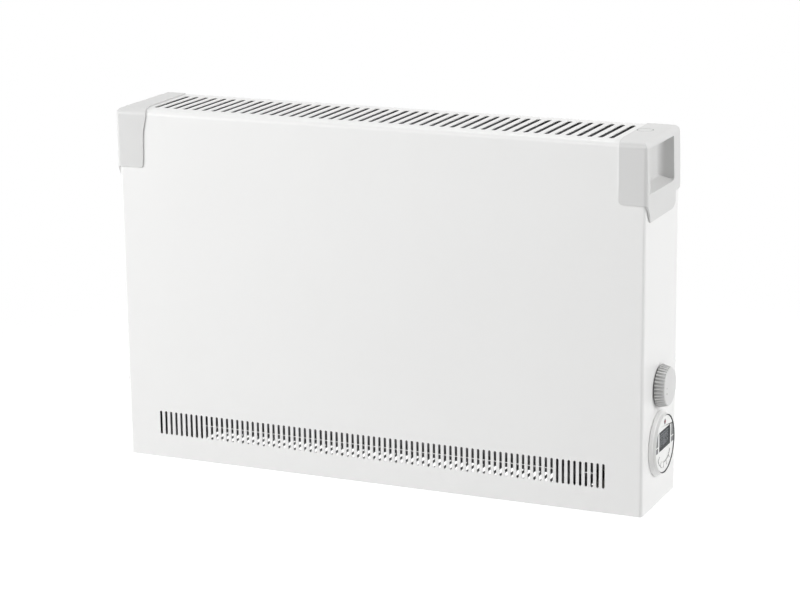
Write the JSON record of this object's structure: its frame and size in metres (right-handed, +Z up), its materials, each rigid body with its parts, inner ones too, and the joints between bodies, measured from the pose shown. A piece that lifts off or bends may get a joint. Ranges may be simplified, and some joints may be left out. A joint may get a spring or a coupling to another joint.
{
  "type": "wall convector heater",
  "caption": "White wall convector heater: folded sheet casing with inlet and outlet grilles, moulded end caps with handle pockets, and a ribbed knob and round digital timer on the right side.",
  "frame": {"origin": "centre of the four wall screw holes, on the wall plane", "axes": "+X to the heater's right as seen from its front, +Y into the wall, so the front faces -Y, and +Z up"},
  "size_m": [0.6975, 0.1235, 0.4435],
  "materials": {
    "white_enamel": "fine textured white enamel on folded sheet steel",
    "cap_plastic": "satin moulded white plastic",
    "control_plastic": "smooth moulded white plastic",
    "dark_window": "dark glossy printed plastic",
    "display_glass": "liquid crystal display behind a dark window",
    "red_lens": "red translucent lens",
    "zinc_sheet": "galvanised sheet steel",
    "plated_steel": "bright zinc plated steel",
    "element_steel": "heat-tinted steel sheath and fins",
    "steatite": "unglazed steatite",
    "phenolic": "pale moulded thermoset",
    "dark_nylon": "dark moulded nylon",
    "buffer_rubber": "soft dark rubber",
    "brass": "plain turned brass",
    "circuit_board": "green solder resist"
  },
  "bodies": {
    "casing": {"front_cover": "white_enamel", "back_panel": "zinc_sheet", "base_plate": "zinc_sheet", "right_end_cap": "cap_plastic", "left_end_cap": "cap_plastic", "casing_screws": "plated_steel", "cap_screws": "plated_steel", "wall_bracket": "zinc_sheet", "wall_buffers": "buffer_rubber", "control_partition": "zinc_sheet", "heat_baffle": "zinc_sheet", "front_element": "element_steel", "rear_element": "element_steel", "element_bracket": "zinc_sheet", "ceramic_bushes": "steatite", "thermal_cutout": "plated_steel", "terminal_block": "phenolic", "cable_gland": "dark_nylon", "gland_nut": "dark_nylon", "earth_screw": "brass", "thermostat_body": "phenolic", "thermostat_nut": "brass", "timer_bezel": "control_plastic", "timer_housing": "dark_nylon", "timer_face": "control_plastic", "timer_window": "dark_window", "timer_display": "display_glass", "timer_side_panels": "dark_window", "timer_led": "red_lens", "timer_board": "circuit_board", "timer_switches": "dark_nylon"},
    "knob": {"thermostat_knob": "control_plastic", "thermostat_shaft": "plated_steel"},
    "button_1": {"timer_button_1": "control_plastic"},
    "button_2": {"timer_button_2": "control_plastic"},
    "button_3": {"timer_button_3": "control_plastic"},
    "button_4": {"timer_button_4": "control_plastic"},
    "button_5": {"timer_button_5": "control_plastic"}
  },
  "joints": [
    {"name": "knob_turn", "type": "hinge", "parent": "casing", "child": "knob", "pos_m": [0.34, -0.062, -0.1756], "axis": [-1, 0, 0], "range_deg": [0, 270]},
    {"name": "button_1_press", "type": "slide", "parent": "casing", "child": "button_1", "axis": [-1, 0, 0], "range_m": [0, 0.0005], "stiffness_N_per_m": 1500},
    {"name": "button_2_press", "type": "slide", "parent": "casing", "child": "button_2", "axis": [-1, 0, 0], "range_m": [0, 0.0005], "stiffness_N_per_m": 1500},
    {"name": "button_3_press", "type": "slide", "parent": "casing", "child": "button_3", "axis": [-1, 0, 0], "range_m": [0, 0.0005], "stiffness_N_per_m": 1500},
    {"name": "button_4_press", "type": "slide", "parent": "casing", "child": "button_4", "axis": [-1, 0, 0], "range_m": [0, 0.0005], "stiffness_N_per_m": 1500},
    {"name": "button_5_press", "type": "slide", "parent": "casing", "child": "button_5", "axis": [-1, 0, 0], "range_m": [0, 0.0005], "stiffness_N_per_m": 1500}
  ]
}
